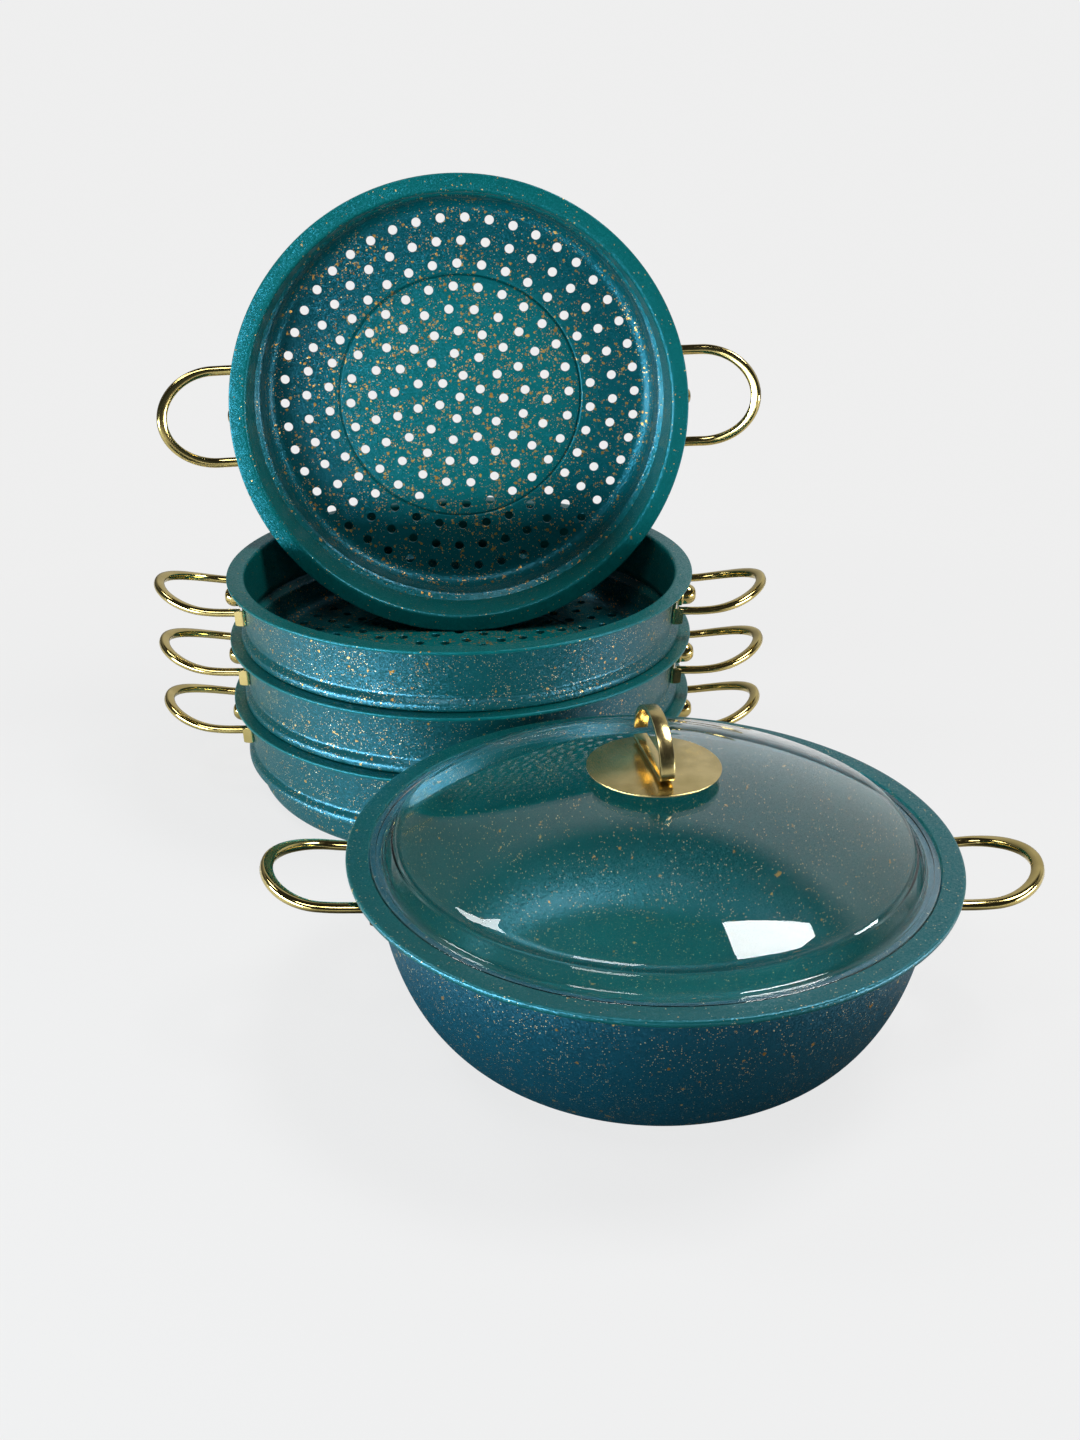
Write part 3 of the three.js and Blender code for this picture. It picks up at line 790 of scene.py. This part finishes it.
# handles with their brackets and caps
handleForm = {
    "legs": 69.0, "thick": 5.6, "wide": 7.4, "straight": 13.0,
    "legSteps": 10, "gripSteps": 56, "around": 20,
    "flatter": 0.38, "flatRun": 1.6, "tipRun": 1.2,  # how much and how soon the grip flattens and tips
    "plate": 1.5, "plateEase": 0.35, "plateAbove": 10.0, "plateBelow": 11.5, "plateSteps": 44,
    "earY": 39.5, "earReach": 6.0, "earAbove": 3.4, "earBelow": 8.5, "earSteps": 6,
    "fallBefore": 6.0, "fallRun": 7.0,  # where the plate's height falls to the ear's
    "earRound": 0.9, "earRoundSteps": 5,
    "bend": 1.5, "bendIn": 0.2, "bendSteps": 9,
    "capR": 8.5, "capLength": 13.0, "capTurns": 40, "capSteps": 8,
    "collar": 2.6, "waist": 0.9, "waistFoot": 3.2, "nose": 4.2, "noseFlat": 0.2,
    "sharp": {"handle": 50, "bracket": 28, "cap": 50},
}
tierGrip = {"legZ": 45.7, "rimR": 169.0, "overhang": 51.5, "rise": 12.5, "lowR": 156.78, "highR": 158.16}
potGrip = {"legZ": 88.6, "rimR": 170.9, "overhang": 45.5, "rise": 8.0, "lowR": 152.6, "highR": 154.5}


def bent(v, power):
    # a power with the sign kept: under 1 it makes a circle's section squarer
    return np.sign(v) * np.abs(v) ** power


def loopRings(h, g, foot):
    # two straight legs joined by half an ellipse that tips upwards; round legs pass into a flatter grip
    apart, bend, end = h["legs"] / 2, g["rimR"] + h["straight"], g["rimR"] + g["overhang"]
    count = h["legSteps"]
    leg = np.linspace(foot, bend, count)
    turn = np.linspace(0, math.pi, h["gripSteps"])[1:-1]
    out = np.concatenate([np.zeros(count), np.sin(turn), np.zeros(count)])
    x = np.concatenate([leg, bend + (end - bend) * np.sin(turn), leg[::-1]])
    y = np.concatenate([np.full(count, -apart), -apart * np.cos(turn), np.full(count, apart)])
    climb = np.clip((x - g["rimR"]) / g["overhang"], 0, 1)
    line = np.stack([x, y, g["legZ"] + g["rise"] * climb**2], 1)
    along = unit(np.gradient(line, axis=0))
    tip = np.arctan(2 * g["rise"] / g["overhang"] * climb) * np.clip(out * h["tipRun"], 0, 1)
    upright = np.stack([-np.sin(tip), np.zeros_like(tip), np.cos(tip)], 1)
    side = unit(np.cross(along, upright))
    up = np.cross(side, along)
    t = np.linspace(0, 2 * math.pi, h["around"], endpoint=False)
    power = (1 - h["flatter"] * np.clip(out * h["flatRun"], 0, 1))[:, None]
    across = bent(np.cos(t), power) * h["wide"] / 2
    tall = bent(np.sin(t), power) * h["thick"] / 2
    return line[:, None] + side[:, None] * across[..., None] + up[:, None] * tall[..., None]


def bracketPath(h, centreR):
    # seen from above: out of one ear, round a bend, along the wall, and the same mirrored
    flatY = h["earY"] - h["bend"]
    y = np.linspace(-flatY, flatY, h["plateSteps"])
    wall = np.stack([np.sqrt(centreR**2 - y**2), y], 1)
    cornerX = math.sqrt(centreR**2 - h["earY"] ** 2)
    tipX = cornerX + h["plate"] / 2 + h["earReach"]
    corner = np.array([cornerX - h["bendIn"], h["earY"]])
    finish = np.array([cornerX + h["bend"], h["earY"]])
    bend = quadratic(wall[-1], corner, finish, np.linspace(0, 1, h["bendSteps"])[:, None])
    earX = np.linspace(finish[0], tipX, h["earSteps"])
    ear = np.stack([earX, np.full_like(earX, h["earY"])], 1)
    rightHalf = np.concatenate([bend[1:], ear[1:]])
    leftHalf = rightHalf[::-1] * (1, -1)
    return np.concatenate([leftHalf, wall, rightHalf])


def bracketRings(h, g):
    # a strip carried along its path: lower at the ears, rounded at their ends, and leaning as the wall does
    path = bracketPath(h, (g["lowR"] + g["highR"]) / 2 + clearance + h["plate"] / 2)
    fallY = h["earY"] - h["bend"] - h["fallBefore"]
    fall = smoothRise((np.abs(path[:, 1]) - fallY) / h["fallRun"])
    rounding = np.linspace(0, 1, h["earRoundSteps"])
    reach = np.concatenate([rounding, np.ones(len(path) - 2 * len(rounding)), rounding[::-1]])
    trim = (1 - np.sqrt(1 - (1 - reach) ** 2)) * h["earRound"]
    top = h["plateAbove"] + (h["earAbove"] - h["plateAbove"]) * fall - trim
    low = -h["plateBelow"] + (h["plateBelow"] - h["earBelow"]) * fall + trim
    # section of eight points: how far off the path, at the foot or the top, and how far in from there
    face, ease = h["plate"] / 2, h["plateEase"]
    off = np.array([ease - face, face - ease, face, face, face - ease, ease - face, -face, -face])
    atTop = np.array([0, 0, 0, 1, 1, 1, 1, 0])
    inward = np.array([0, 0, ease, -ease, 0, 0, -ease, ease])
    z = low[:, None] + (top - low)[:, None] * atTop[None] + inward[None]
    slope = (g["highR"] - g["lowR"]) / (h["plateAbove"] + h["plateBelow"])
    lean = slope * (z - (h["plateAbove"] - h["plateBelow"]) / 2)
    flat = besidePath(path, off)
    return np.stack([flat[..., 0] + lean, flat[..., 1], z + g["legZ"]], -1)


def capOutline(h):
    # a low collar, a waist and a round nose, as (radius, length)
    r, length = h["capR"], h["capLength"]
    return eased([
        (0, 0, 0), (r, 0, 0.5), (r, h["collar"], 0.5),
        (r - h["waist"], h["waistFoot"], 0.4), (r - h["waist"], length - h["nose"], 3.4),
        (r - h["nose"], length - h["noseFlat"], 3.2), (0, length, 0),
    ], h["capSteps"])


def makeHandles(h, g, body, matrix):
    # the loop's feet and the cap stand just off the front of the bracket
    front = max(g["lowR"], g["highR"]) + clearance + h["plate"] + clearance
    foot = math.sqrt(front**2 - ((h["legs"] - h["wide"]) / 2) ** 2)
    loop = meshOf("gripLoop", [sweep(loopRings(h, g, foot))])
    bracket = meshOf("gripBracket", [sweep(bracketRings(h, g))])
    cap = meshOf("gripCap", [revolve(capOutline(h), h["capTurns"], False)])
    cap.transform(shiftBy(front, 0, g["legZ"]) @ turned(90, "Y"))
    parts = {"handle": (loop, polishedGold), "bracket": (bracket, plateGold), "cap": (cap, polishedGold)}
    for side, turn in (("right", 0), ("left", 180)):
        own = matrix @ turned(turn, "Z")
        for part, (mesh, gold) in parts.items():
            node = "%s_%s_%s" % (body, side, part)
            place(mesh, node + "_gold", own, body, node, gold, h["sharp"][part])


makeHandles(handleForm, potGrip, "pot", placeOf["pot"])
for tier in tiers:
    makeHandles(handleForm, tierGrip, tier, placeOf[tier])
print("handles made")

# lid and knob
lidForm = {
    "edgeR": 157.8, "glass": 4.0, "stepFootR": 149.8, "crownR": 142.8, "stepRise": 11.9, "domeRise": 32.8,
    "boreR": 4.0, "turns": 256, "crownSteps": 48, "curveSteps": 7, "sharp": 60,
    "groove": (3.2, 3.8, 4.6), "grooveDeep": 0.6,  # in from the edge
    "footRise": 0.3,
    "ridge": ((2.6, 7.6), (1.6, 8.3)),  # out from the crown and up from the edge
    "shoulder": (0.4, 1.0),  # out from the crown and down from the step's top
    "crownIn": 1.5, "underIn": 1.0,
}


def crownHeight(f, r):
    # part of a ball whose edge lies on the step and whose top is the dome's rise above it
    ball = (f["crownR"] ** 2 + f["domeRise"] ** 2) / (2 * f["domeRise"])
    return f["glass"] + f["stepRise"] + f["domeRise"] - ball + np.sqrt(ball**2 - r**2)


def lidOutline(f):
    # closed section: flat edge, stepped rise with a ridge, dome to the bore, and back a glass below it
    edge, glass, crownR = f["edgeR"], f["glass"], f["crownR"]
    r = np.linspace(crownR - f["crownIn"], f["boreR"], f["crownSteps"])
    crown = np.stack([r, crownHeight(f, r)], 1)
    crownUnder = crown - (0, glass)
    first, deep, last = f["groove"]
    upper = eased([
        (edge, 0, 0), (edge, glass, 1.4), (edge - first, glass, 0.5),
        (edge - deep, glass - f["grooveDeep"], 0.5), (edge - last, glass, 0.5),
        (f["stepFootR"], glass + f["footRise"], 2.6),
        *[(crownR + out, glass + up, 0.6) for out, up in f["ridge"]],
        (crownR + f["shoulder"][0], glass + f["stepRise"] - f["shoulder"][1], 1.8),
        (*crown[0], 0),
    ], f["curveSteps"])
    lower = eased([
        (edge - f["underIn"], 0, 0), (f["stepFootR"], 0, 2.6),
        (crownR, f["stepRise"], 2.6), (*crownUnder[0], 0),
    ], f["curveSteps"])
    return np.concatenate([upper, crown[1:], crownUnder[::-1], lower[::-1][1:]])


lidMesh = meshOf("lidDome", [revolve(lidOutline(lidForm), lidForm["turns"])])
place(lidMesh, "lid_dome", placeOf["lid"], "lid", "lid_glass", lidClear, lidForm["sharp"])

knobForm = {
    "gasketR": 14.0, "gasketTop": 52.58, "gasketFoot": 48.98, "gasketEase": 0.8, "gasketTurns": 64,
    "boreR": 3.1,
    "plateR": 37.3, "plateSheet": 1.2, "plateCrown": 1.6, "plateFoot": 52.88,
    "plateTurns": 160, "plateSteps": 7,
    "strap": 3.0, "strapWide": 8.0, "strapLong": 61.0, "strapTall": 30.7, "strapSharp": 40,
    "strapEase": (0.6, 0.18, 0.0),  # how far in a corner's three points lie
    "bend": 4.0, "gap": 5.0, "offset": 1.6, "turn": 10.0,
    "legSteps": 14, "bendSteps": 9, "archSteps": 60,
    "screwR": 2.8, "headR": 7.0, "headTall": 3.0, "socketR": 1.6, "socketDeep": 1.2,
    "washerR": 10.0, "washer": 1.6, "washerEase": 0.4, "steelTurns": 48,
}


def ringOutline(inner, outer, low, high, ease):
    # a rectangle with eased corners
    corners = [(inner, low, ease), (outer, low, ease), (outer, high, ease), (inner, high, ease)]
    return eased(corners, closed=True)


def plateOutline(k):
    # thin cone with a flat middle and a turned edge
    foot, top, flat = k["plateFoot"], k["plateFoot"] + k["plateSheet"], k["gasketR"] + k["plateSheet"]
    return eased([
        (k["boreR"], foot, 0.2), (flat, foot, 6.0), (k["plateR"], foot - k["plateCrown"], 0.45),
        (k["plateR"], top - k["plateCrown"], 0.5), (flat, top, 6.0), (k["boreR"], top, 0.3),
    ], k["plateSteps"], True)


def strapRings(k):
    # a flat strap along its base leg, round a tight front bend and back in an arch that stops above the leg
    reach, rise = (k["strapLong"] - k["strap"]) / 2, k["strapTall"] - k["strap"] - k["bend"]
    legX = np.linspace(-reach, reach - k["bend"], k["legSteps"])
    leg = np.stack([legX, np.zeros_like(legX)], 1)
    t = np.linspace(-math.pi / 2, 0, k["bendSteps"])[1:-1]
    bend = np.stack([reach - k["bend"] * (1 - np.cos(t)), k["bend"] * (1 + np.sin(t))], 1)
    t = np.linspace(0, math.radians(180 - k["gap"]), k["archSteps"])
    arch = np.stack([reach * np.cos(t), k["bend"] + rise * np.sin(t)], 1)
    line = np.concatenate([leg, bend, arch])
    # section: three points at each of its four corners
    ease = np.array(k["strapEase"])
    inThick = np.stack([ease, ease[::-1], ease, ease[::-1]])
    inWide = inThick[:, ::-1]
    thick = (np.array([[1], [1], [-1], [-1]]) * (k["strap"] / 2 - inThick)).ravel()
    wide = (np.array([[-1], [1], [1], [-1]]) * (k["strapWide"] / 2 - inWide)).ravel()
    flat = besidePath(line, thick)
    return np.stack([flat[..., 0] - k["offset"], np.broadcast_to(wide, flat.shape[:2]), flat[..., 1]], -1)


def screwOutline(k, top, pinTop):
    # a pin on a round head with a socket in its face
    low = top - k["headTall"]
    deep = low + k["socketDeep"]
    return eased([
        (0, deep, 0), (k["socketR"], deep, 0.2), (k["socketR"], low, 0.3),
        (k["headR"], low, 1.2), (k["headR"], top, 0.3),
        (k["screwR"], top, 0.2), (k["screwR"], pinTop, 0.3), (0, pinTop, 0),
    ])


def makeKnob(k, f):
    at = placeOf["lid"]
    plateTop = k["plateFoot"] + k["plateSheet"]
    washerTop = float(crownHeight(f, k["washerR"])) - f["glass"] - clearance
    washerFoot = washerTop - k["washer"]

    ring = ringOutline(k["boreR"], k["gasketR"], k["gasketFoot"], k["gasketTop"], k["gasketEase"])
    gasket = meshOf("knobGasket", [revolve(ring, k["gasketTurns"])])
    place(gasket, "lid_gasket_ring", at, "lid", "lid_gasket", darkSilicone)

    plate = meshOf("knobPlate", [revolve(plateOutline(k), k["plateTurns"])])
    place(plate, "lid_knob_disc", at, "lid", "lid_knob_plate", brushedGold)

    strap = meshOf("knobStrap", [sweep(strapRings(k))])
    strapAt = at @ shiftBy(0, 0, plateTop + clearance + k["strap"] / 2) @ turned(k["turn"] - 90, "Z")
    place(strap, "lid_knob_strap", strapAt, "lid", "lid_knob_loop", satinGold, k["strapSharp"])

    ring = ringOutline(k["boreR"], k["washerR"], washerFoot, washerTop, k["washerEase"])
    washer = meshOf("knobWasher", [revolve(ring, k["steelTurns"])])
    place(washer, "lid_washer_ring", at, "lid", "lid_washer", bareSteel)

    pin = screwOutline(k, washerFoot - clearance, plateTop)
    screw = meshOf("knobScrew", [revolve(pin, k["steelTurns"], False)])
    place(screw, "lid_screw_pin", at, "lid", "lid_screw", bareSteel)


makeKnob(knobForm, lidForm)
print("lid and knob made")

# floor, world and lamps
floorLook = {
    "seen": 0.08,  # what the floor gives back of the lamps' light to the camera
    "spread": 0.25,  # to other dull surfaces
    "mirrored": (0.05, 0.72),  # and to glossy ones, in a painted shadow under the pot's bowl and away from it
    "paintedShadowAt": (0, -0.11, 0), "paintedShadowRun": (0.18, 0.34),  # centre and reach of that painted shadow, in metres
    "pale": (0.77, 0.86),  # what the camera sees besides, near and far
    "farRun": (0.5, 0.95),
    "drift": (0.98, 1.02),
    "grain": {"Fine": 8.0, "Slow": 600.0},
    "rough": 0.9,
    "rings": (0.2, 60, 26), "turns": 64,  # first and last ring in metres, and how many
    "height": -0.25,
}
roomLook = {
    "dim": (0.025, 0.026, 0.028, 1),
    "backWall": (0.62, 0.63, 0.64, 1), "backY": (-0.1, 0.5), "backZ": (0.68, 0.76), "backX": (-0.40, 0.05),
    "backLeft": 0.25,  # how much of the back wall's light is left at its left end
    "daylight": (0.05, 0.062, 0.07, 1), "frontY": (-0.2, -0.8), "leftX": (-0.3, -0.9), "lowZ": (0.25, 0.50),
    "seen": (0.86, 0.86, 0.86, 1),
}
lamps = {
    "panelRight": {"place": (0.87, 0.14, 1.90), "size": (0.76, 0.60), "power": 29, "aim": (0.05, -0.06, 0.1)},
    "panelLeft": {"place": (-1.26, 0.58, 1.90), "size": (0.50, 0.50), "power": 10, "aim": (-0.05, 0.1, 0.1)},
    "panelFront": {"place": (-0.50, -0.85, 1.95), "size": (0.7, 0.5), "power": 11},
    "windowFront": {
        "place": (-0.85, -1.75, 0.22), "size": (0.5, 0.36), "power": 2.5, "colour": (0.85, 0.95, 1),
    },
    "windowLeft": {
        "place": (-1.05, -0.48, 0.10), "size": (1.3, 0.18), "power": 27, "colour": (0.72, 0.90, 1),
    },
    "windowRight": {
        "place": (1.05, -0.30, 0.10), "size": (0.7, 0.18), "power": 8, "colour": (0.92, 0.97, 1),
    },
}
anyLamp = {"colour": (1, 1, 1), "aim": (-0.05, 0.15, 0.12)}  # for a lamp that doesn't say


def metByCamera(tree):
    # 1 for what the camera meets straight on or through the glass alone
    path = addNode(tree, "ShaderNodeLightPath").outputs
    seen = maths(tree, "MAXIMUM", path["Is Camera Ray"], path["Is Transmission Ray"])
    turns = maths(tree, "ADD", path["Diffuse Depth"], path["Glossy Depth"])
    return times(tree, seen, maths(tree, "LESS_THAN", turns, 0.5))


def makeFloor(look):
    # a disc of rings that lies just below the lowest point; lamps shade it, the camera sees it paler, and
    # glossy rays see a painted shadow round the pot
    r = np.concatenate([[0.0], np.geomspace(*look["rings"])]) / mm
    profile = np.stack([r, np.full_like(r, look["height"])], 1)
    mesh = meshOf("studioFloor", [revolve(profile[::-1], look["turns"], False)])
    material, tree, sockets = newMaterial("paleFloor", {
        "Roughness": look["rough"], "Specular IOR Level": 0.0, "Emission Color": (1, 1, 1, 1),
    })
    seen = metByCamera(tree)
    glossy = addNode(tree, "ShaderNodeLightPath").outputs["Is Glossy Ray"]
    grain = useGroup(tree, grainGroup, look["grain"])
    drift = spanned(tree, grain["Drift"], (0.0, 1.0), look["drift"])
    where = ownSpot(tree)
    radius = vectorMaths(tree, "LENGTH", {0: where}, "Value")
    fromPaintedShadow = vectorMaths(tree, "DISTANCE", {0: where, 1: look["paintedShadowAt"]}, "Value")
    shaded = spanned(tree, radius, look["farRun"], (look["seen"], 0.0))
    # painted shadow: to glossy rays the floor darkens towards the pot's bowl
    mirrored = spanned(tree, fromPaintedShadow, look["paintedShadowRun"], look["mirrored"])
    share = blendValue(tree, seen, look["spread"], shaded)
    share = blendValue(tree, glossy, share, mirrored)
    tree.links.new(times(tree, share, drift), sockets["Base Color"])
    pale = spanned(tree, radius, look["farRun"], look["pale"])
    tree.links.new(times(tree, seen, pale), sockets["Emission Strength"])
    mesh.materials.append(material)
    floor = bpy.data.objects.new("studioFloor", mesh)
    bpy.context.scene.collection.objects.link(floor)


def makeLamp(name, lamp):
    data = bpy.data.lights.new(name, "AREA")
    data.shape = "RECTANGLE"
    data.size, data.size_y = lamp["size"]
    data.energy = lamp["power"]
    data.color = lamp["colour"]
    holder = bpy.data.objects.new(name, data)
    holder.visible_camera = holder.visible_transmission = False
    bpy.context.scene.collection.objects.link(holder)
    aim = Vector(lamp["aim"]) - Vector(lamp["place"])
    turn = aim.to_track_quat("-Z", "Y").to_matrix().to_4x4()
    holder.matrix_world = Matrix.Translation(lamp["place"]) @ turn


def makeWorld(look):
    # the camera sees a pale wall; all else a dim room with a lit back wall and daylight in front and left
    world = bpy.data.worlds.new("studioRoom")
    bpy.context.scene.world = world
    world.use_nodes = True
    tree = world.node_tree
    where = addNode(tree, "ShaderNodeTexCoord").outputs["Generated"]
    parts = addNode(tree, "ShaderNodeSeparateXYZ", {0: where}).outputs
    back = spanned(tree, parts["Y"], look["backY"])
    wall = times(tree, back, spanned(tree, parts["Z"], look["backZ"], (1.0, 0.0)))
    wall = times(tree, wall, spanned(tree, parts["X"], look["backX"], (look["backLeft"], 1.0)))
    front = spanned(tree, parts["Y"], look["frontY"])
    left = spanned(tree, parts["X"], look["leftX"])
    low = spanned(tree, parts["Z"], look["lowZ"], (1.0, 0.0))
    daylight = times(tree, maths(tree, "MAXIMUM", front, left), low)
    room = blendColour(tree, wall, look["dim"], look["backWall"])
    room = blendColour(tree, daylight, room, look["daylight"])
    pale = blendColour(tree, metByCamera(tree), room, look["seen"])
    tree.links.new(pale, tree.nodes["Background"].inputs["Color"])


makeFloor(floorLook)
for name, lamp in lamps.items():
    makeLamp(name, dict(anyLamp, **lamp))
makeWorld(roomLook)
bpy.context.scene.view_settings.view_transform = "Standard"
print("studio made")
